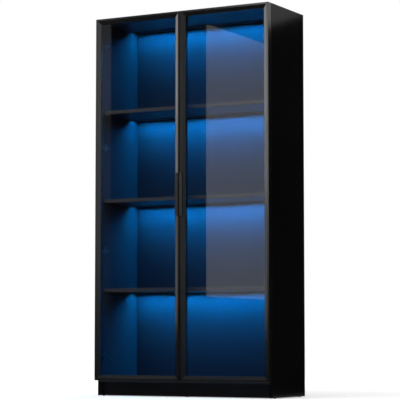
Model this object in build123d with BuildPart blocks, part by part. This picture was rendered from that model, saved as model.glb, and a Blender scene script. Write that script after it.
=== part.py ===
from build123d import *
import os

os.makedirs("parts", exist_ok=True)

# Tall display cabinet with two glass doors, in millimetres, +Z up, front towards -Y.
# The origin is on the floor, at the middle of the overall width and depth.

# Carcass: the top compartment is taller than the others by its extra height
cabinet_width = 1016.0
cabinet_height = 1980.0
carcass_depth = 376.0
panel_t = 18.0
edge_break = 0.8
dado_depth = 6.0
base_height = 71.0
shelf_count = 3
shelf_setback = 27.0
shelf_rear_gap = 0.5
top_extra_h = 13.0

# Back panel, let into rabbets in the side panels
back_t = 5.0
back_inset = 3.0
back_lap = 8.0
back_slack = 0.5
back_end_gap = 2.0

# Base under the bottom panel
toe_recess = 24.0
rear_rail_t = 16.0
rear_rail_inset = 12.0
glide_h = 3.0
glide_r = 7.0
glide_inset = 45.0

# Light channels, let into the undersides
led_from_back = 58.0
channel_w = 12.0
channel_h = 8.0
channel_wall = 1.2
channel_end_gap = 0.5
glare_lip = 2.2
tape_w = 8.0
tape_t = 1.0
diffuser_t = 1.2
diffuser_recess = 1.5

# Power for the lights, hidden in the base
driver_l = 120.0
driver_w = 46.0
driver_h = 26.0
driver_corner_r = 3.2
driver_chamfer = 1.6
driver_x = -330.0
driver_from_rail = 30.0
inlet_x = -330.0
inlet_r = 5.5
inlet_flange_r = 8.5
inlet_flange_t = 2.0
inlet_nut_t = 3.0
jack_r = 2.75
jack_depth = 10.0

# Doors
door_bottom = 81.0
door_t = 32.0
door_gap = 3.0
meeting_gap = 3.0
frame_w = 28.0
land_w = 10.0
lip_t = 2.2
glass_t = 4.0
glass_bite = 7.7
gasket_t = 0.8

# Steel plates that hold the mitred frame corners
corner_leg = 50.0
corner_inset = 5.0
corner_w = 14.0
corner_t = 1.8

# Concealed single-pin hinges: the pin is measured from the cabinet's outer side face
# and from the front plane of the carcass
hinge_count = 4
hinge_end = 130.0
pin_in = 6.5
pin_out = 11.0
pin_r = 2.0
pin_clearance = 0.05
eye_r = 4.0
hook_t = 4.0
hook_h = 12.0
hook_side_gap = 1.0
hook_bend_r = 4.0
housing_play = 0.3
housing_cheek = 2.3
housing_web = 1.0
housing_wall = 1.8
sweep_clearance = 0.4
flange_t = 1.5
flange_h = 24.0
flange_inset = 1.7
plate_t = 2.0
plate_from = 15.0
plate_to = 59.0
wing_w = 20.0
wing_h = 44.0
wing_corner = 5.0
arm_t = 6.0
arm_h = 14.0
arm_from = 10.0
arm_to = 62.0
arm_taper = 5.0

# Edge pulls on the meeting stiles
pull_l = 222.0
pull_edge = 1.2
pull_foot_w = 7.6
pull_foot_h = 9.0
pull_plate_w = 18.6
pull_plate_t = 3.5
pull_chamfer = 1.2

# Door bumpers and the pilot holes for a wall strap
bumper_r = 3.5
bumper_clearance = 0.4
bumper_x = 20.0
strap_pitch = 800.0
strap_r = 2.0
strap_depth = 14.0
strap_from_rear = 40.0

# Worked-out places
inner_width = cabinet_width - 2 * panel_t
side_x = cabinet_width / 2
inner_x = inner_width / 2
deck_w = inner_width + 2 * dado_depth
pull_projection = pull_foot_h + pull_plate_t
front_projection = door_gap + door_t + pull_projection
front_y = (front_projection - carcass_depth) / 2
rear_y = front_y + carcass_depth
back_rear_y = rear_y - back_inset
back_front_y = back_rear_y - back_t
back_bottom = base_height + back_end_gap
back_top = cabinet_height - back_end_gap
door_back_y = front_y - door_gap
door_front_y = door_back_y - door_t
door_top = cabinet_height
door_h = door_top - door_bottom
door_w = (cabinet_width - meeting_gap) / 2
door_mid_x = (cabinet_width + meeting_gap) / 4
door_mid_z = (door_bottom + door_top) / 2
top_under = cabinet_height - panel_t
clear_h = top_under - base_height - panel_t - shelf_count * panel_t
compartment_h = (clear_h - top_extra_h) / (shelf_count + 1)
shelf_pitch = compartment_h + panel_t
shelf_unders = [base_height + (i + 1) * shelf_pitch for i in range(shelf_count)]
lit_unders = shelf_unders + [top_under]
led_y = back_front_y - led_from_back
channel_l = inner_width - 2 * channel_end_gap
rail_rear_y = rear_y - rear_rail_inset
rail_front_y = rail_rear_y - rear_rail_t
toe_front_y = front_y + toe_recess
toe_rear_y = toe_front_y + panel_t
inlet_z = base_height / 2
hinge_pitch = (door_h - 2 * hinge_end) / (hinge_count - 1)
hinge_zs = [door_bottom + hinge_end + i * hinge_pitch for i in range(hinge_count)]
cheek_z = hook_h / 2 + housing_play
housing_z = cheek_z + housing_cheek
hook_in = panel_t + hook_side_gap + hook_t / 2
hook_sweep = ((hook_in + hook_t / 2 - pin_in) ** 2 + (hook_t / 2) ** 2) ** 0.5
housing_inner = pin_in + hook_sweep + sweep_clearance
housing_outer = pin_in - eye_r - sweep_clearance
housing_depth = pin_out - door_gap + eye_r + sweep_clearance + housing_web
hook_start = (pin_in, -pin_out)
hook_corner = (hook_in, -pin_out)
hook_end = (hook_in, arm_from + hook_t)
corner_mid = corner_inset + corner_w / 2
groove_rear = housing_depth + housing_wall
groove_front = groove_rear + glass_t + 2 * gasket_t
bevel_foot = groove_front + lip_t
glass_front_y = door_back_y - groove_front + gasket_t
groove_floor = frame_w - glass_bite - gasket_t
glass_margin = frame_w - glass_bite

# The door frame's section: u runs inward from the frame's outer edge, v from its back face
# to its front. A flat land, a bevel falling to the glass, and a groove for glass and gasket.
frame_section = [
    (0, 0),
    (0, door_t - edge_break),
    (edge_break, door_t),
    (land_w, door_t),
    (frame_w, bevel_foot),
    (frame_w, groove_front),
    (groove_floor, groove_front),
    (groove_floor, groove_rear),
    (frame_w, groove_rear),
    (frame_w, 0),
]


def save(piece, name):
    piece.part.label = name
    export_step(piece.part, f"parts/{name}.step")


def facing(x, y, z, direction):
    return Plane(origin=(x, y, z), z_dir=direction)


to_rear = (0, 1, 0)


def door_corners(side):
    edges = ((side * side_x, -side), (side * meeting_gap / 2, side))
    ends = ((door_bottom, 1), (door_top, -1))
    return [(x, across, z, up) for x, across in edges for z, up in ends]


# Flat panels between the sides: name, underside, front, rear, lit from below
shelf_front_y = front_y + shelf_setback
shelf_rear_y = back_front_y - shelf_rear_gap
decks = [("bottom_panel", base_height, front_y, back_front_y, False)]
for under_z, name in zip(shelf_unders, ("lower_shelf", "middle_shelf", "upper_shelf")):
    decks.append((name, under_z, shelf_front_y, shelf_rear_y, True))
decks.append(("top_panel", top_under, front_y, back_front_y, True))


# Side panels: a rabbet for the back panel and a dado for the end of each flat panel
def side_panel(side):
    with BuildPart() as panel:
        with BuildSketch(Plane.XY.offset(glide_h)):
            with Locations((side * (side_x - panel_t / 2), (front_y + rear_y) / 2)):
                Rectangle(panel_t, carcass_depth)
        extrude(amount=cabinet_height - glide_h)
        upright_edges = panel.edges().filter_by(Axis.Z)
        chamfer(upright_edges, length=edge_break)
        with BuildSketch(Plane.XY.offset(base_height)):
            with Locations((side * (inner_x + back_lap / 2), (back_front_y + rear_y) / 2)):
                Rectangle(back_lap, rear_y - back_front_y)
        extrude(amount=cabinet_height, mode=Mode.SUBTRACT)
        with BuildSketch(Plane.YZ.offset(side * inner_x)):
            for _, under_z, from_y, to_y, _ in decks:
                with Locations(((from_y + to_y) / 2, under_z + panel_t / 2)):
                    Rectangle(to_y - from_y, panel_t)
        extrude(amount=side * dado_depth, mode=Mode.SUBTRACT)
    return panel


save(side_panel(-1), "left_side_panel")
save(side_panel(1), "right_side_panel")


def deck(under_z, from_y, to_y, lit):
    with BuildPart() as board:
        with BuildSketch(Plane.XY.offset(under_z)):
            with Locations((0, (from_y + to_y) / 2)):
                Rectangle(deck_w, to_y - from_y)
        extrude(amount=panel_t)
        chamfer(board.edges().filter_by(Axis.X).group_by(Axis.Y)[0], length=edge_break)
        if lit:
            with BuildSketch(Plane.XY.offset(under_z)):
                with Locations((0, led_y)):
                    Rectangle(inner_width, channel_w)
            extrude(amount=channel_h, mode=Mode.SUBTRACT)
        if under_z == top_under:
            with BuildSketch(Plane.XY.offset(cabinet_height)):
                with Locations((0, rear_y - strap_from_rear)):
                    with GridLocations(strap_pitch, 0, 2, 1):
                        Circle(strap_r)
            extrude(amount=-strap_depth, mode=Mode.SUBTRACT)
    return board


for name, under_z, from_y, to_y, lit in decks:
    save(deck(under_z, from_y, to_y, lit), name)

# Back panel
with BuildPart() as back_panel:
    with BuildSketch(Plane.XY.offset(back_bottom)):
        with Locations((0, (back_front_y + back_rear_y) / 2)):
            Rectangle(inner_width + 2 * (back_lap - back_slack), back_t)
    extrude(amount=back_top - back_bottom)
save(back_panel, "back_panel")

# Base: toe board, rear rail, brace between them, and the glides
with BuildPart() as toe_board:
    with BuildSketch(Plane.XY.offset(glide_h)):
        with Locations((0, (toe_front_y + toe_rear_y) / 2)):
            Rectangle(inner_width, panel_t)
    extrude(amount=base_height - glide_h)
save(toe_board, "toe_board")

with BuildPart() as rear_rail:
    with BuildSketch(Plane.XY.offset(glide_h)):
        with Locations((0, (rail_front_y + rail_rear_y) / 2)):
            Rectangle(inner_width, rear_rail_t)
    extrude(amount=base_height - glide_h)
    with Locations(facing(inlet_x, rail_rear_y, inlet_z, to_rear)):
        Hole(inlet_r, rear_rail_t)
save(rear_rail, "base_rear_rail")

with BuildPart() as base_brace:
    with BuildSketch(Plane.XY.offset(glide_h)):
        with Locations((0, (toe_rear_y + rail_front_y) / 2)):
            Rectangle(panel_t, rail_front_y - toe_rear_y)
    extrude(amount=base_height - glide_h)
save(base_brace, "base_brace")

with BuildPart() as foot_glides:
    with BuildSketch(Plane.XY):
        for x in (panel_t / 2 - side_x, 0, side_x - panel_t / 2):
            with Locations((x, front_y + glide_inset), (x, rear_y - glide_inset)):
                Circle(glide_r)
    extrude(amount=glide_h)
save(foot_glides, "foot_glides")


# Light channels: a small aluminium U, open downwards, whose front wall hangs below the
# underside as a glare lip, with a light tape in its roof and a diffuser set up inside it
def led_channel(under_z):
    near_y = led_y - channel_w / 2
    far_y = led_y + channel_w / 2
    roof_z = under_z + channel_h
    with BuildPart() as channel:
        with BuildSketch(Plane.YZ.offset(-channel_l / 2)):
            with BuildLine():
                Polyline(
                    (near_y, under_z - glare_lip),
                    (near_y, roof_z),
                    (far_y, roof_z),
                    (far_y, under_z),
                    (far_y - channel_wall, under_z),
                    (far_y - channel_wall, roof_z - channel_wall),
                    (near_y + channel_wall, roof_z - channel_wall),
                    (near_y + channel_wall, under_z - glare_lip),
                    close=True,
                )
            make_face()
        extrude(amount=channel_l)
    return channel


def led_diffuser(under_z):
    with BuildPart() as diffuser:
        with BuildSketch(Plane.YZ.offset(-channel_l / 2)):
            with Locations((led_y, under_z + diffuser_recess + diffuser_t / 2)):
                Rectangle(channel_w - 2 * channel_wall, diffuser_t)
        extrude(amount=channel_l)
    return diffuser


for under_z, place in zip(lit_unders, ("lower", "middle", "upper", "top")):
    save(led_channel(under_z), f"led_channel_{place}")
    save(led_diffuser(under_z), f"led_diffuser_{place}")

with BuildPart() as led_tapes:
    for under_z in lit_unders:
        with BuildSketch(Plane.YZ.offset(-channel_l / 2)):
            with Locations((led_y, under_z + channel_h - channel_wall - tape_t / 2)):
                Rectangle(tape_w, tape_t)
        extrude(amount=channel_l)
save(led_tapes, "led_tapes")

# Light driver under the bottom panel, and its power inlet through the rear rail
with BuildPart() as led_driver:
    with BuildSketch(Plane.XY.offset(base_height - driver_h)):
        with Locations((driver_x, rail_front_y - driver_from_rail - driver_w / 2)):
            RectangleRounded(driver_l, driver_w, driver_corner_r)
    extrude(amount=driver_h)
    chamfer(led_driver.faces().sort_by(Axis.Z)[0].edges(), length=driver_chamfer)
save(led_driver, "led_driver")

with BuildPart() as power_inlet:
    with Locations(facing(inlet_x, rail_rear_y, inlet_z, to_rear)):
        Cylinder(inlet_r, rear_rail_t + inlet_nut_t, align=(Align.CENTER, Align.CENTER, Align.MAX))
        Cylinder(inlet_flange_r, inlet_flange_t, align=(Align.CENTER, Align.CENTER, Align.MIN))
    with BuildSketch(Plane.XZ.offset(-rail_front_y)):
        with Locations((inlet_x, inlet_z)):
            RegularPolygon(inlet_flange_r, 6)
    extrude(amount=inlet_nut_t)
    with Locations(facing(inlet_x, rail_rear_y + inlet_flange_t, inlet_z, to_rear)):
        Hole(jack_r, jack_depth)
save(power_inlet, "power_inlet")

# Bumpers on the front edges of the top and bottom panels, where the doors meet
with BuildPart() as door_bumpers:
    with BuildSketch(Plane.XZ.offset(-front_y)):
        for z in ((door_bottom + base_height + panel_t) / 2, cabinet_height - panel_t / 2):
            with Locations((-bumper_x, z), (bumper_x, z)):
                Circle(bumper_r)
    extrude(amount=door_gap - bumper_clearance)
save(door_bumpers, "door_bumpers")


# Hinges: local x runs inward from the cabinet's outer side face, local y to the rear
# from the front plane of the carcass
def hinge_plane(side, z):
    return Plane(origin=(side * side_x, front_y, z), x_dir=(-side, 0, 0), z_dir=(0, 0, -side))


# On the cabinet's inner side face: local x runs to the rear from the carcass front
def wall_plane(side, standoff, z):
    wall_x = side * (inner_x - standoff)
    return Plane(origin=(wall_x, front_y, z), x_dir=to_rear, z_dir=(-side, 0, 0))


def hinge_block(low, high):
    with Locations(((low[0] + high[0]) / 2, (low[1] + high[1]) / 2)):
        Rectangle(high[0] - low[0], high[1] - low[1])


def hinge_arms(side):
    with BuildPart() as arms:
        for z in hinge_zs:
            with BuildSketch(hinge_plane(side, z)):
                with BuildLine():
                    FilletPolyline(hook_start, hook_corner, hook_end, radius=hook_bend_r)
                trace(line_width=hook_t)
                with Locations(hook_start):
                    Circle(eye_r)
                    Circle(pin_r + pin_clearance, mode=Mode.SUBTRACT)
            extrude(amount=hook_h / 2, both=True)
            with BuildSketch(wall_plane(side, plate_t, z)) as arm:
                with Locations(((arm_from + arm_to) / 2, 0)):
                    Rectangle(arm_to - arm_from, arm_h)
                chamfer(arm.vertices().group_by(Axis.X)[-1], length=arm_taper)
            extrude(amount=arm_t)
    return arms


def hinge_plates(side):
    with BuildPart() as plates:
        for z in hinge_zs:
            with BuildSketch(wall_plane(side, 0, z)):
                with Locations(((plate_from + plate_to) / 2, 0)):
                    with BuildSketch(mode=Mode.PRIVATE) as wing:
                        Rectangle(wing_w, wing_h)
                        chamfer(wing.vertices(), length=wing_corner)
                    add(wing.sketch)
                    Rectangle(plate_to - plate_from, arm_h)
            extrude(amount=plate_t)
    return plates


def hinge_housings(side):
    with BuildPart() as housings:
        for z in hinge_zs:
            floor_y = -door_gap - housing_depth
            rim_y = flange_t - door_gap
            with BuildSketch(hinge_plane(side, z)):
                hinge_block((housing_outer, floor_y), (housing_inner, rim_y))
            extrude(amount=housing_z, both=True)
            with BuildSketch(hinge_plane(side, z)):
                hinge_block((housing_outer + flange_inset, -door_gap), (housing_inner - flange_inset, rim_y))
            extrude(amount=flange_h, both=True)
            with BuildSketch(hinge_plane(side, z)):
                hinge_block((housing_outer, floor_y + housing_web), (housing_inner, rim_y))
            extrude(amount=cheek_z, both=True, mode=Mode.SUBTRACT)
            with BuildSketch(hinge_plane(side, z)):
                with Locations(hook_start):
                    Circle(pin_r)
            extrude(amount=housing_z, both=True, mode=Mode.SUBTRACT)
    return housings


def hinge_pins(side):
    with BuildPart() as pins:
        for z in hinge_zs:
            with BuildSketch(hinge_plane(side, z)):
                with Locations(hook_start):
                    Circle(pin_r)
            extrude(amount=housing_z, both=True)
    return pins


# L-shaped corner plates, flush in the back of the frame
def corner_legs(side):
    mid_leg = (corner_inset + corner_leg) / 2
    leg_l = corner_leg - corner_inset
    for x, across, z, up in door_corners(side):
        with Locations((x + across * mid_leg, z + up * corner_mid)):
            Rectangle(leg_l, corner_w)
        with Locations((x + across * corner_mid, z + up * mid_leg)):
            Rectangle(corner_w, leg_l)


# Door frame members, cut to 45 degree mitres
def stile(side, outer):
    edge_x = side * side_x if outer else side * meeting_gap / 2
    across = -side if outer else side
    reach = frame_w + edge_break
    with BuildPart() as member:
        with BuildSketch(Plane.XY.offset(door_bottom)):
            with BuildLine():
                Polyline(*[(edge_x + across * u, door_back_y - v) for u, v in frame_section], close=True)
            make_face()
        extrude(amount=door_h)
        with BuildSketch(Plane.XZ.offset(-door_back_y)):
            for z, up in ((door_bottom, 1), (door_top, -1)):
                with BuildLine():
                    Polyline(
                        (edge_x, z),
                        (edge_x + across * reach, z),
                        (edge_x + across * reach, z + up * reach),
                        close=True,
                    )
                make_face()
        extrude(amount=door_t, mode=Mode.SUBTRACT)
        with BuildSketch(Plane.XZ.offset(-door_back_y)):
            corner_legs(side)
        extrude(amount=corner_t, mode=Mode.SUBTRACT)
        if outer:
            for z in hinge_zs:
                with BuildSketch(hinge_plane(side, z)):
                    hinge_block((housing_outer, -door_gap - housing_depth), (housing_inner, -door_gap))
                extrude(amount=housing_z, both=True, mode=Mode.SUBTRACT)
    return member


def rail(side, top):
    edge_z = door_top if top else door_bottom
    up = -1 if top else 1
    start_x = min(side * side_x, side * meeting_gap / 2)
    end_x = start_x + door_w
    reach = frame_w + edge_break
    with BuildPart() as member:
        with BuildSketch(Plane.YZ.offset(start_x)):
            with BuildLine():
                Polyline(*[(door_back_y - v, edge_z + up * u) for u, v in frame_section], close=True)
            make_face()
        extrude(amount=door_w)
        with BuildSketch(Plane.XZ.offset(-door_back_y)):
            for x, across in ((start_x, 1), (end_x, -1)):
                with BuildLine():
                    Polyline(
                        (x, edge_z),
                        (x, edge_z + up * reach),
                        (x + across * reach, edge_z + up * reach),
                        close=True,
                    )
                make_face()
        extrude(amount=door_t, mode=Mode.SUBTRACT)
        with BuildSketch(Plane.XZ.offset(-door_back_y)):
            corner_legs(side)
        extrude(amount=corner_t, mode=Mode.SUBTRACT)
    return member


def corner_plates(side):
    with BuildPart() as plates:
        with BuildSketch(Plane.XZ.offset(-door_back_y)):
            corner_legs(side)
        extrude(amount=corner_t)
    return plates


def door_glass(side):
    with BuildPart() as glass:
        with BuildSketch(Plane.XZ.offset(-glass_front_y)):
            with Locations((side * door_mid_x, door_mid_z)):
                Rectangle(door_w - 2 * glass_margin, door_h - 2 * glass_margin)
        extrude(amount=-glass_t)
    return glass


# A U-shaped gasket, all round the glass, flush with the frame's inner edge
def door_gasket(side):
    with BuildPart() as gasket:
        with BuildSketch(Plane.XZ.offset(-door_back_y + groove_rear)):
            with Locations((side * door_mid_x, door_mid_z)):
                Rectangle(door_w - 2 * groove_floor, door_h - 2 * groove_floor)
                Rectangle(door_w - 2 * frame_w, door_h - 2 * frame_w, mode=Mode.SUBTRACT)
        extrude(amount=groove_front - groove_rear)
        with BuildSketch(Plane.XZ.offset(-glass_front_y)):
            with Locations((side * door_mid_x, door_mid_z)):
                Rectangle(door_w - 2 * glass_margin, door_h - 2 * glass_margin)
        extrude(amount=-glass_t, mode=Mode.SUBTRACT)
    return gasket


# Edge pull: a foot along the meeting edge carries a flat grip that stands over the bevel
def door_pull(side):
    near_x = side * (meeting_gap / 2 + pull_edge)
    foot_x = near_x + side * pull_foot_w
    far_x = near_x + side * pull_plate_w
    grip_y = door_front_y - pull_foot_h
    face_y = grip_y - pull_plate_t
    with BuildPart() as pull:
        with BuildSketch(Plane.XY.offset(door_mid_z - pull_l / 2)):
            with BuildLine():
                Polyline(
                    (near_x, door_front_y),
                    (near_x, face_y + pull_chamfer),
                    (near_x + side * pull_chamfer, face_y),
                    (far_x - side * pull_chamfer, face_y),
                    (far_x, face_y + pull_chamfer),
                    (far_x, grip_y),
                    (foot_x, grip_y),
                    (foot_x, door_front_y),
                    close=True,
                )
            make_face()
        extrude(amount=pull_l)
    return pull


for side, hand in ((-1, "left"), (1, "right")):
    save(hinge_arms(side), f"{hand}_hinge_arms")
    save(hinge_plates(side), f"{hand}_hinge_plates")
    save(hinge_housings(side), f"{hand}_hinge_housings")
    save(hinge_pins(side), f"{hand}_hinge_pins")
    save(stile(side, outer=True), f"{hand}_door_outer_stile")
    save(stile(side, outer=False), f"{hand}_door_meeting_stile")
    save(rail(side, top=True), f"{hand}_door_top_rail")
    save(rail(side, top=False), f"{hand}_door_bottom_rail")
    save(corner_plates(side), f"{hand}_door_corner_plates")
    save(door_glass(side), f"{hand}_door_glass")
    save(door_gasket(side), f"{hand}_door_gasket")
    save(door_pull(side), f"{hand}_door_pull")
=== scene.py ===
import bpy
import bmesh
import math
from mathutils import Matrix, Vector


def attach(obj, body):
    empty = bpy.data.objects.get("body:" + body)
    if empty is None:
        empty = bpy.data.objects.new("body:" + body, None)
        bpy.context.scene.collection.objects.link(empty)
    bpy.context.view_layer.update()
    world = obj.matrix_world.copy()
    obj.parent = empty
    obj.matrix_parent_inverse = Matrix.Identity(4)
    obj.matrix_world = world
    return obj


# Lengths are in metres, in the part's own frame: +Z up, front towards -Y.
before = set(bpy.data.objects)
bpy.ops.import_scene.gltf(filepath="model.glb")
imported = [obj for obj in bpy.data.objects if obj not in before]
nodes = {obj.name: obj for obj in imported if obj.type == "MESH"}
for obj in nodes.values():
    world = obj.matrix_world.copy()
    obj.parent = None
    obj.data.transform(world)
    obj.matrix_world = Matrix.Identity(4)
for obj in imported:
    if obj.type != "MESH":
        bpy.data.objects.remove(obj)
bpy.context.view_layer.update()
scene = bpy.context.scene
scene.view_settings.view_transform = "Standard"

to_right = (1.0, 0.0, 0.0)
to_left = (-1.0, 0.0, 0.0)
to_rear = (0.0, 1.0, 0.0)
to_front = (0.0, -1.0, 0.0)
upward = (0.0, 0.0, 1.0)
downward = (0.0, 0.0, -1.0)
white = (1.0, 1.0, 1.0, 1.0)

# The part of a noise's range that its tints and its roughness are spread over
noise_low = 0.3
noise_high = 0.7
noise_roughness = 0.55

# A face looks along a direction when its normal has more than this share of it
facing_share = 0.5


class Paint:
    """A node material with one Principled shader and the few textures it needs."""

    def __init__(self, name):
        self.material = bpy.data.materials.new(name)
        self.material.use_nodes = True
        self.tree = self.material.node_tree
        self.shader = self.tree.nodes["Principled BSDF"]
        texture = self.add("ShaderNodeTexCoord")
        self.coordinates = texture.outputs["Object"]
        self.normal = texture.outputs["Normal"]

    def add(self, kind, **settings):
        node = self.tree.nodes.new(kind)
        for key, value in settings.items():
            setattr(node, key, value)
        return node

    def link(self, source, target):
        self.tree.links.new(source, target)

    def set(self, **values):
        for key, value in values.items():
            self.shader.inputs[key.replace("_", " ")].default_value = value

    def noise(self, scale, detail, stretch=(1.0, 1.0, 1.0)):
        mapping = self.add("ShaderNodeMapping")
        mapping.inputs["Scale"].default_value = stretch
        self.link(self.coordinates, mapping.inputs["Vector"])
        texture = self.add("ShaderNodeTexNoise")
        texture.inputs["Scale"].default_value = scale
        texture.inputs["Detail"].default_value = detail
        texture.inputs["Roughness"].default_value = noise_roughness
        self.link(mapping.outputs["Vector"], texture.inputs["Vector"])
        return texture.outputs["Fac"]

    def between(self, value, low, high, from_low=noise_low, from_high=noise_high):
        ranged = self.add("ShaderNodeMapRange")
        ranged.inputs["From Min"].default_value = from_low
        ranged.inputs["From Max"].default_value = from_high
        ranged.inputs["To Min"].default_value = low
        ranged.inputs["To Max"].default_value = high
        self.link(value, ranged.inputs["Value"])
        return ranged.outputs["Result"]

    def ramp(self, value, dark, light):
        ramp = self.add("ShaderNodeValToRGB")
        ramp.color_ramp.elements[0].position = noise_low
        ramp.color_ramp.elements[0].color = (*dark, 1.0)
        ramp.color_ramp.elements[1].position = noise_high
        ramp.color_ramp.elements[1].color = (*light, 1.0)
        self.link(value, ramp.inputs["Fac"])
        return ramp.outputs["Color"]

    def tint(self, value, dark, light):
        colour = self.ramp(value, dark, light)
        self.link(colour, self.shader.inputs["Base Color"])
        return colour

    def tint_by_side(self, value, others, side, direction):
        """One pair of tints for the faces that look along the direction, one for the others."""
        along = self.add("ShaderNodeVectorMath", operation="DOT_PRODUCT")
        along.inputs[1].default_value = direction
        self.link(self.normal, along.inputs[0])
        chosen = self.add("ShaderNodeMath", operation="GREATER_THAN")
        chosen.inputs[1].default_value = facing_share
        self.link(along.outputs["Value"], chosen.inputs[0])
        mixed = self.add("ShaderNodeMix", data_type="RGBA")
        self.link(chosen.outputs["Value"], mixed.inputs["Factor"])
        self.link(self.ramp(value, *others), mixed.inputs[6])
        self.link(self.ramp(value, *side), mixed.inputs[7])
        self.link(mixed.outputs[2], self.shader.inputs["Base Color"])

    def roughness(self, value, low, high):
        self.link(self.between(value, low, high), self.shader.inputs["Roughness"])

    def bump(self, value, strength, distance):
        relief = self.add("ShaderNodeBump")
        relief.inputs["Strength"].default_value = strength
        relief.inputs["Distance"].default_value = distance
        self.link(value, relief.inputs["Height"])
        self.link(relief.outputs["Normal"], self.shader.inputs["Normal"])


# Materials: noise scales are in waves to the metre, and so finer as they grow
pore_scale, pore_strength, pore_relief = 420.0, 0.012, 0.0001
cloud_scale = 9.0
brush_scale, brush_strength, brush_relief = 700.0, 0.05, 0.0001
wear_scale = 160.0
spark_scale, spark_strength, spark_relief = 900.0, 0.12, 0.0002
drift_scale = 2.2
ripple_scale = 60.0
glass_index = 1.5


def melamine(name, grain, tints, rough_low, rough_high, specular, side_tints=None, side=None):
    paint = Paint(name)
    pores = paint.noise(pore_scale, detail=4.0, stretch=grain)
    clouds = paint.noise(cloud_scale, detail=3.0)
    if side is None:
        paint.tint(clouds, *tints)
    else:
        paint.tint_by_side(clouds, tints, side_tints, side)
    paint.roughness(pores, rough_low, rough_high)
    paint.bump(pores, pore_strength, pore_relief)
    paint.set(Specular_IOR_Level=specular)
    return paint.material


def anodised(name, grain, dark, light, rough_low, rough_high, specular):
    paint = Paint(name)
    brush = paint.noise(brush_scale, detail=3.0, stretch=grain)
    paint.tint(brush, dark, light)
    paint.roughness(brush, rough_low, rough_high)
    paint.bump(brush, brush_strength, brush_relief)
    paint.set(Specular_IOR_Level=specular)
    return paint.material


def black_oxide(name):
    paint = Paint(name)
    wear = paint.noise(wear_scale, detail=4.0)
    paint.tint(wear, (0.040, 0.040, 0.041), (0.060, 0.060, 0.061))
    paint.roughness(wear, 0.36, 0.50)
    paint.set(Metallic=1.0)
    return paint.material


def soft_plastic(name, dark, light, rough_low, rough_high):
    paint = Paint(name)
    spark = paint.noise(spark_scale, detail=2.0)
    paint.tint(spark, dark, light)
    paint.roughness(spark, rough_low, rough_high)
    paint.bump(spark, spark_strength, spark_relief)
    return paint.material


def clear_glass(name):
    paint = Paint(name)
    drift = paint.noise(drift_scale, detail=1.0)
    paint.tint(drift, (0.955, 0.972, 0.97), (0.965, 0.98, 0.978))
    paint.set(Transmission_Weight=1.0, IOR=glass_index, Roughness=0.0)
    return paint.material


def glow(name, dark, light, strength, lit_half, fade):
    """A lit diffuser along X, whose glow fades out towards its two ends."""
    paint = Paint(name)
    ripple = paint.noise(ripple_scale, detail=1.0)
    colour = paint.tint(ripple, dark, light)
    place = paint.add("ShaderNodeSeparateXYZ")
    paint.link(paint.coordinates, place.inputs["Vector"])
    across = paint.add("ShaderNodeMath", operation="ABSOLUTE")
    paint.link(place.outputs["X"], across.inputs[0])
    share = paint.between(across.outputs["Value"], 1.0, 0.0, lit_half, lit_half + fade)
    dimmed = paint.add("ShaderNodeVectorMath", operation="SCALE")
    paint.link(colour, dimmed.inputs["Vector"])
    paint.link(share, dimmed.inputs["Scale"])
    paint.link(dimmed.outputs["Vector"], paint.shader.inputs["Emission Color"])
    paint.set(Emission_Strength=strength, Roughness=0.5)
    return paint.material


# Grain is stretched along one axis by scaling that axis down
along_z = (1.0, 1.0, 0.06)
along_x = (0.06, 1.0, 1.0)

# Each pair of tints is the dark and the light end of one finish
# The first pair is painted shade: a darker copy of the board's tint for the outer faces of the
# side and top panels
painted_shade_tints = ((0.0038, 0.0038, 0.0040), (0.0050, 0.0049, 0.0052))
deck_tints = ((0.0150, 0.0150, 0.0153), (0.0175, 0.0174, 0.0178))
# The board's own tint on the inner faces of the side panels, lighter than the painted shade
# outside
inner_face_tints = ((0.0122, 0.0122, 0.0124), (0.0140, 0.0140, 0.0143))
# Painted shade: a darker copy of the board's tint for the base pieces, standing in for the shade
# under the doors
painted_shade_base_tints = ((0.0072, 0.0072, 0.0074), (0.0090, 0.0089, 0.0092))
# Painted light: a lighter copy of the board's tint for the shelves' front edges, standing in for
# the studio light on them
painted_light_edge_tints = ((0.033, 0.031, 0.030), (0.037, 0.035, 0.034))
back_tints = ((0.0130, 0.0130, 0.0133), (0.0148, 0.0148, 0.0151))
frame_tints = ((0.0055, 0.0055, 0.0056), (0.0085, 0.0084, 0.0082))
pull_tints = ((0.012, 0.012, 0.012), (0.018, 0.018, 0.018))
channel_tints = ((0.010, 0.010, 0.010), (0.016, 0.016, 0.016))
rubber_tints = ((0.008, 0.008, 0.008), (0.013, 0.013, 0.013))
plastic_tints = ((0.010, 0.010, 0.010), (0.016, 0.016, 0.016))
tape_tints = ((0.70, 0.70, 0.68), (0.80, 0.80, 0.78))
light_tints = ((0.0, 0.268, 0.97), (0.0, 0.282, 1.0))

# Boards: the outer faces of the side and top panels get a darker copy of the board's tint,
# painted shade; the shelves get a lighter front edge, painted light
# Side panels: painted shade on the outer faces, the board's own tint on the inner faces
left_board = melamine(
    "black_board_left", along_z, painted_shade_tints, 0.17, 0.21, 0.065, inner_face_tints, to_right
)
right_board = melamine(
    "black_board_right", along_z, painted_shade_tints, 0.17, 0.21, 0.065, inner_face_tints, to_left
)
# Shelves: painted light on the front edges
shelf_board = melamine(
    "black_board_shelf", along_x, deck_tints, 0.34, 0.40, 0.10, painted_light_edge_tints, to_front
)
deck_board = melamine("black_board_deck", along_x, deck_tints, 0.30, 0.36, 0.12)
# Top panel: painted shade on the outer faces, the board's own tint on the underside
top_board = melamine(
    "black_board_top", along_x, painted_shade_tints, 0.30, 0.36, 0.12, deck_tints, downward
)
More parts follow.
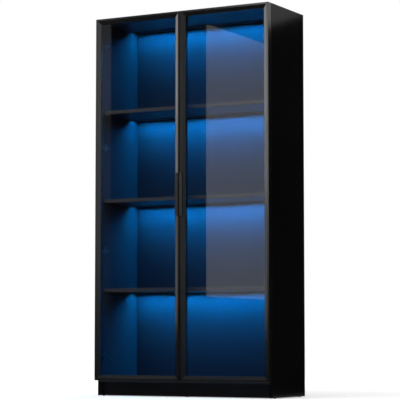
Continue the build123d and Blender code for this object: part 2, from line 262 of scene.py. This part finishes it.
# Base pieces: painted shade, darker than the inner boards
base_board = melamine("black_board_base", along_x, painted_shade_base_tints, 0.30, 0.36, 0.06)
back_board = melamine("black_back", along_z, back_tints, 0.58, 0.66, 0.02)
upright_frame = anodised("black_frame_upright", along_z, *frame_tints, 0.20, 0.26, 0.5)
level_frame = anodised("black_frame_level", along_x, *frame_tints, 0.20, 0.26, 0.5)
pull_black = anodised("black_pull", along_z, *pull_tints, 0.22, 0.28, 0.5)
channel_black = anodised("black_channel", along_x, *channel_tints, 0.4, 0.5, 0.3)
steel = black_oxide("black_oxide")
rubber = soft_plastic("black_rubber", *rubber_tints, 0.6, 0.75)
plastic = soft_plastic("black_plastic", *plastic_tints, 0.4, 0.55)
tape = soft_plastic("light_tape", *tape_tints, 0.5, 0.6)
glass = clear_glass("clear_glass")
blue_light = glow("blue_diffuser", *light_tints, strength=1430.0, lit_half=0.448, fade=0.036)


def finish_of(name):
    if name.endswith("_glass"):
        return glass
    if "diffuser" in name:
        return blue_light
    if "led_channel" in name:
        return channel_black
    if name == "led_tapes":
        return tape
    if "gasket" in name or "bumper" in name:
        return rubber
    if name.endswith("_pull"):
        return pull_black
    if "stile" in name:
        return upright_frame
    if "door" in name and "rail" in name:
        return level_frame
    if "hinge" in name or "corner_plates" in name:
        return steel
    if name in ("foot_glides", "led_driver", "power_inlet"):
        return plastic
    if name == "back_panel":
        return back_board
    if name == "left_side_panel":
        return left_board
    if name == "right_side_panel":
        return right_board
    if name.endswith("_shelf"):
        return shelf_board
    if name == "top_panel":
        return top_board
    if name == "bottom_panel":
        return deck_board
    return base_board


for name, node in nodes.items():
    node.data.materials.clear()
    node.data.materials.append(finish_of(name))

# Screw heads with a cross recess. The profile runs up from below the face that the head holds,
# in shares of the head's radius and height; the cross is in shares of the same.
head_turns = 20
head_profile = ((1.0, -0.2), (1.0, 0.35), (0.86, 0.78), (0.62, 1.0))
head_twist = 0.7
cross_reach = 0.46
cross_half = 0.11
cross_depth = 0.55
cross_taper = 0.72


def add_head(shape, place, radius, proud):
    """One closed head about the place's Z axis."""
    rings = []
    for share, rise in head_profile:
        reach = radius * share
        ring = []
        for step in range(head_turns):
            angle = 2 * math.pi * step / head_turns
            point = Vector((reach * math.cos(angle), reach * math.sin(angle), proud * rise))
            ring.append(shape.verts.new(place @ point))
        rings.append(ring)
    for lower, upper in zip(rings, rings[1:]):
        for step in range(head_turns):
            after = (step + 1) % head_turns
            wall = shape.faces.new((lower[step], lower[after], upper[after], upper[step]))
            wall.smooth = True
    shape.faces.new(rings[0][::-1])
    outline = []
    arm = ((cross_half, cross_half), (cross_half, cross_reach), (-cross_half, cross_reach))
    for quarter in range(4):
        turn = Matrix.Rotation(quarter * math.pi / 2, 3, "Z")
        for x, y in arm:
            outline.append(turn @ Vector((x * radius, y * radius, proud)))
    brim = [shape.verts.new(place @ point) for point in outline]
    sunk = []
    for point in outline:
        low_z = proud * (1 - cross_depth)
        low_point = Vector((point.x * cross_taper, point.y * cross_taper, low_z))
        sunk.append(shape.verts.new(place @ low_point))
    count = len(brim)
    rim = rings[-1]
    edges = [shape.edges.get((rim[step - 1], rim[step])) for step in range(head_turns)]
    edges += [shape.edges.new((brim[step - 1], brim[step])) for step in range(count)]
    bmesh.ops.triangle_fill(shape, edges=edges, use_beauty=True)
    for step in range(count):
        shape.faces.new((brim[step - 1], brim[step], sunk[step], sunk[step - 1]))
    shape.faces.new(sunk)


def screw_heads(name, body, spots, direction, radius, proud):
    """One piece with a head at each spot, which rides on the body."""
    shape = bmesh.new()
    aim = Vector(direction).to_track_quat("Z", "Y").to_matrix().to_4x4()
    for order, spot in enumerate(spots):
        twist = Matrix.Rotation(head_twist * order, 4, "Z")
        add_head(shape, Matrix.Translation(spot) @ aim @ twist, radius, proud)
    bmesh.ops.recalc_face_normals(shape, faces=shape.faces)
    mesh = bpy.data.meshes.new(name)
    shape.to_mesh(mesh)
    shape.free()
    piece = bpy.data.objects.new(name, mesh)
    scene.collection.objects.link(piece)
    mesh.materials.append(steel)
    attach(piece, body)


# Where the heads sit: places are those of the CAD pieces that they hold
hinge_zs = (0.211, 0.757333, 1.303667, 1.850)
plate_face_x = 0.488
plate_mid_y = -0.12725
plate_step = 0.016
housing_x = 0.4952
housing_face_y = -0.16575
housing_step = 0.017
door_back_y = -0.16725
door_bottom_z = 0.081
door_top_z = 1.980
outer_edge_x = 0.508
meeting_edge_x = 0.0015
corner_line = 0.012
corner_along = 0.043
pull_x = 0.0065
pull_mid_z = 1.0305
pull_step = 0.08
back_y = 0.20875
back_side_x = 0.49375
back_side_low_z = 0.16
back_side_pitch = 0.346
back_side_count = 6
back_row_zs = (0.0805, 0.5495, 1.019, 1.4885, 1.970)
back_row_xs = (-0.32, 0.0, 0.32)

for sign, side in ((-1, "left"), (1, "right")):
    inward = (-sign, 0, 0)
    plate_spots = []
    housing_spots = []
    for z in hinge_zs:
        for end in (-1, 1):
            plate_spots.append((sign * plate_face_x, plate_mid_y, z + end * plate_step))
            housing_spots.append((sign * housing_x, housing_face_y, z + end * housing_step))
    screw_heads(
        f"{side}_hinge_plate_screws", "cabinet", plate_spots, inward,
        radius=0.0034, proud=0.0016,
    )
    screw_heads(
        f"{side}_hinge_housing_screws", f"{side}_door", housing_spots, to_rear,
        radius=0.0032, proud=0.0007,
    )
    corner_spots = []
    for edge_x, into_x in ((sign * outer_edge_x, -sign), (sign * meeting_edge_x, sign)):
        for edge_z, into_z in ((door_bottom_z, 1), (door_top_z, -1)):
            for step_x, step_z in ((corner_line, corner_along), (corner_along, corner_line)):
                spot = (edge_x + into_x * step_x, door_back_y, edge_z + into_z * step_z)
                corner_spots.append(spot)
    screw_heads(
        f"{side}_door_corner_screws", f"{side}_door", corner_spots, to_rear,
        radius=0.0034, proud=0.0008,
    )
    pull_spots = [(sign * pull_x, door_back_y, pull_mid_z + end * pull_step) for end in (-1, 1)]
    screw_heads(
        f"{side}_door_pull_screws", f"{side}_door", pull_spots, to_rear,
        radius=0.0036, proud=0.0016,
    )

back_spots = []
for sign in (-1, 1):
    for step in range(back_side_count):
        back_spots.append((sign * back_side_x, back_y, back_side_low_z + back_side_pitch * step))
back_spots += [(x, back_y, z) for z in back_row_zs for x in back_row_xs]
screw_heads("back_panel_screws", "cabinet", back_spots, to_rear, radius=0.0035, proud=0.0016)

# Lamp light passes straight through the panes to the shelves
for name in ("left_door_glass", "right_door_glass"):
    nodes[name].visible_shadow = False
    nodes[name].visible_diffuse = False


# Stage: floor, world, flags, lamps and camera
def plane(name, size, matrix):
    half_x = size[0] / 2
    half_y = size[1] / 2
    mesh = bpy.data.meshes.new(name)
    lower = [(-half_x, -half_y, 0), (half_x, -half_y, 0)]
    upper = [(half_x, half_y, 0), (-half_x, half_y, 0)]
    mesh.from_pydata(lower + upper, [], [(0, 1, 2, 3)])
    made = bpy.data.objects.new(name, mesh)
    scene.collection.objects.link(made)
    made.matrix_world = matrix
    return made


def seen_directly(tree):
    """1 for camera, glossy and transmission rays, and 0 once a ray carries light to a surface."""
    path = tree.nodes.new("ShaderNodeLightPath")
    first = tree.nodes.new("ShaderNodeMath")
    first.operation = "MAXIMUM"
    second = tree.nodes.new("ShaderNodeMath")
    second.operation = "MAXIMUM"
    tree.links.new(path.outputs["Is Camera Ray"], first.inputs[0])
    tree.links.new(path.outputs["Is Glossy Ray"], first.inputs[1])
    tree.links.new(first.outputs[0], second.inputs[0])
    tree.links.new(path.outputs["Is Transmission Ray"], second.inputs[1])
    third = tree.nodes.new("ShaderNodeMath")
    third.operation = "SUBTRACT"
    third.use_clamp = True
    tree.links.new(second.outputs[0], third.inputs[0])
    tree.links.new(path.outputs["Diffuse Depth"], third.inputs[1])
    return third.outputs[0]


# The floor is lifted to white for the eye only: less near the part, where its shadow falls,
# and more far away, where the floor meets the white world
floor_size = 40.0
speck_scale = 40.0
near_lift, far_lift = 0.40, 0.62
near_reach, far_reach = 1.2, 4.5
floor = plane("floor", (floor_size, floor_size), Matrix.Identity(4))
pale = Paint("pale_floor")
speck = pale.noise(speck_scale, detail=2.0)
pale.tint(speck, (0.84, 0.84, 0.84), (0.86, 0.86, 0.86))
pale.set(Roughness=0.9, Specular_IOR_Level=0.0, Emission_Color=white)
away = pale.add("ShaderNodeVectorMath", operation="LENGTH")
pale.link(pale.coordinates, away.inputs[0])
lift = pale.add("ShaderNodeMath", operation="MULTIPLY")
pale.link(seen_directly(pale.tree), lift.inputs[0])
lift_level = pale.between(away.outputs["Value"], near_lift, far_lift, near_reach, far_reach)
pale.link(lift_level, lift.inputs[1])
pale.link(lift.outputs[0], pale.shader.inputs["Emission Strength"])
floor.data.materials.append(pale.material)

# The world is white to the eye and lights the part at the ambient level
ambient = 0.45
world = bpy.data.worlds.new("studio")
scene.world = world
world.use_nodes = True
background = world.node_tree.nodes["Background"]
background.inputs["Color"].default_value = white
level = world.node_tree.nodes.new("ShaderNodeMapRange")
level.inputs["To Min"].default_value = ambient
level.inputs["To Max"].default_value = 1.0
world.node_tree.links.new(seen_directly(world.node_tree), level.inputs["Value"])
world.node_tree.links.new(level.outputs["Result"], background.inputs["Strength"])

cloth_scale = 30.0
flag_cloth = Paint("flag_cloth")
weave = flag_cloth.noise(cloth_scale, detail=4.0)
flag_cloth.tint(weave, (0.001, 0.001, 0.001), (0.002, 0.002, 0.002))
flag_cloth.set(Roughness=1.0, Specular_IOR_Level=0.0)
flag_clear = flag_cloth.add("ShaderNodeBsdfTransparent")
flag_mix = flag_cloth.add("ShaderNodeMixShader")
flag_path = flag_cloth.add("ShaderNodeLightPath")
flag_output = flag_cloth.tree.nodes["Material Output"]
flag_cloth.link(flag_path.outputs["Glossy Depth"], flag_mix.inputs["Fac"])
flag_cloth.link(flag_clear.outputs["BSDF"], flag_mix.inputs[1])
flag_cloth.link(flag_cloth.shader.outputs["BSDF"], flag_mix.inputs[2])
flag_cloth.link(flag_mix.outputs["Shader"], flag_output.inputs["Surface"])


def flag(name, size, place, direction, lean=0.0):
    """A black card out of shot, which only the reflections see."""
    turn = Vector(direction).to_track_quat("Z", "Y").to_matrix().to_4x4()
    matrix = Matrix.Translation(place) @ turn @ Matrix.Rotation(lean, 4, "Z")
    card = plane(name, size, matrix)
    card.data.materials.append(flag_cloth.material)
    card.visible_camera = False
    card.visible_diffuse = False
    card.visible_volume_scatter = False
    card.visible_shadow = False


flag("front_flag", size=(14.0, 8.0), place=(0.0, -3.6, 3.95), direction=to_rear)
flag("front_floor_flag", size=(14.0, 3.38), place=(0.0, -1.91, 0.002), direction=upward)
flag("right_flag", size=(8.6, 1.7), place=(0.8, 3.7, 0.85), direction=to_left)
flag(
    "right_upper_flag",
    size=(3.0, 0.6), place=(0.8, 0.724, 1.765), direction=to_left, lean=math.radians(-17.3),
)
flag("right_floor_flag", size=(3.0, 8.0), place=(2.1, 2.6, 0.002), direction=upward)
flag("left_flag", size=(1.2, 0.38), place=(-1.3, -0.45, 0.19), direction=to_right)


def softbox(name, size, place, direction, radiance, lights=True, mirrored=True):
    """A soft lamp, which may only light and not be mirrored, or the other way round."""
    lamp = bpy.data.lights.new(name, "AREA")
    lamp.shape = "RECTANGLE"
    lamp.size = size[0]
    lamp.size_y = size[1]
    lamp.energy = radiance * math.pi * size[0] * size[1]
    made = bpy.data.objects.new(name, lamp)
    scene.collection.objects.link(made)
    aim = Vector(direction).to_track_quat("-Z", "Y").to_matrix().to_4x4()
    made.matrix_world = Matrix.Translation(place) @ aim
    made.visible_camera = False
    made.visible_transmission = False
    made.visible_diffuse = lights
    made.visible_glossy = mirrored


def graded_softbox(name, width, place, direction, grades, lights=True):
    """A tall lamp in sections, each with its foot, its head and its radiance."""
    for order, (low_z, high_z, radiance) in enumerate(grades):
        size = (width, high_z - low_z)
        middle = (*place, (low_z + high_z) / 2)
        softbox(f"{name}_{order}", size, middle, direction, radiance, lights=lights)


# Lamps beside the doors that both light the part and are mirrored in it
softbox(
    "left_far_softbox",
    size=(1.1, 1.78), place=(-1.0, -2.85, 1.46), direction=to_right, radiance=1.3,
)
graded_softbox(
    "left_near_softbox", width=0.14, place=(-2.2, -2.995), direction=to_right,
    grades=((0.51, 1.28, 0.05), (1.28, 1.9, 0.17), (1.9, 2.65, 0.39)),
)

# Lamps that light nothing and are only mirrored, for the light edges of the door frames
graded_softbox(
    "left_edge_softbox", width=0.515, place=(-2.2, -2.6575), direction=to_right,
    grades=((0.8, 1.7, 1.3), (1.7, 2.9, 1.75)), lights=False,
)
graded_softbox(
    "left_side_softbox", width=0.8, place=(-1.3, -0.45), direction=to_right,
    grades=((1.15, 1.6, 1.2), (1.6, 2.7, 2.1)), lights=False,
)
softbox(
    "strip_softbox",
    size=(0.30, 2.1), place=(-0.84, -3.3, 2.25), direction=(0.25, 1.0, -0.25),
    radiance=8.0, lights=False,
)
right_aim = (-0.3, 1.0, 0.0)
softbox(
    "right_softbox",
    size=(0.25, 2.8), place=(1.1155, -3.335, 1.6), direction=right_aim,
    radiance=1.6, lights=False,
)
graded_softbox(
    "right_inner_softbox", width=0.45, place=(0.78, -3.436), direction=right_aim,
    grades=((0.6, 1.1, 0.9), (1.1, 1.8, 1.15), (1.8, 3.2, 1.75)), lights=False,
)

# Lamps that light the part from above and from behind
softbox(
    "top_softbox",
    size=(2.0, 1.0), place=(-0.5, -1.9, 3.9), direction=(0.2, 0.65, -1.0),
    radiance=9.5, mirrored=False,
)
softbox(
    "rear_softbox",
    size=(0.9, 2.0), place=(0.0, 3.6, 2.2), direction=(0.0, -1.0, -0.3),
    radiance=9.0, mirrored=False,
)

camera_data = bpy.data.cameras.new("camera")
camera_data.lens = 154.69
camera_data.sensor_width = 36.0
camera = bpy.data.objects.new("camera", camera_data)
scene.collection.objects.link(camera)
camera.location = (4.295, -7.818, 0.280)
camera_yaw = math.radians(28.728)
camera_pitch = math.radians(4.722)
camera.rotation_euler = (math.pi / 2 + camera_pitch, 0.0, camera_yaw)
scene.camera = camera
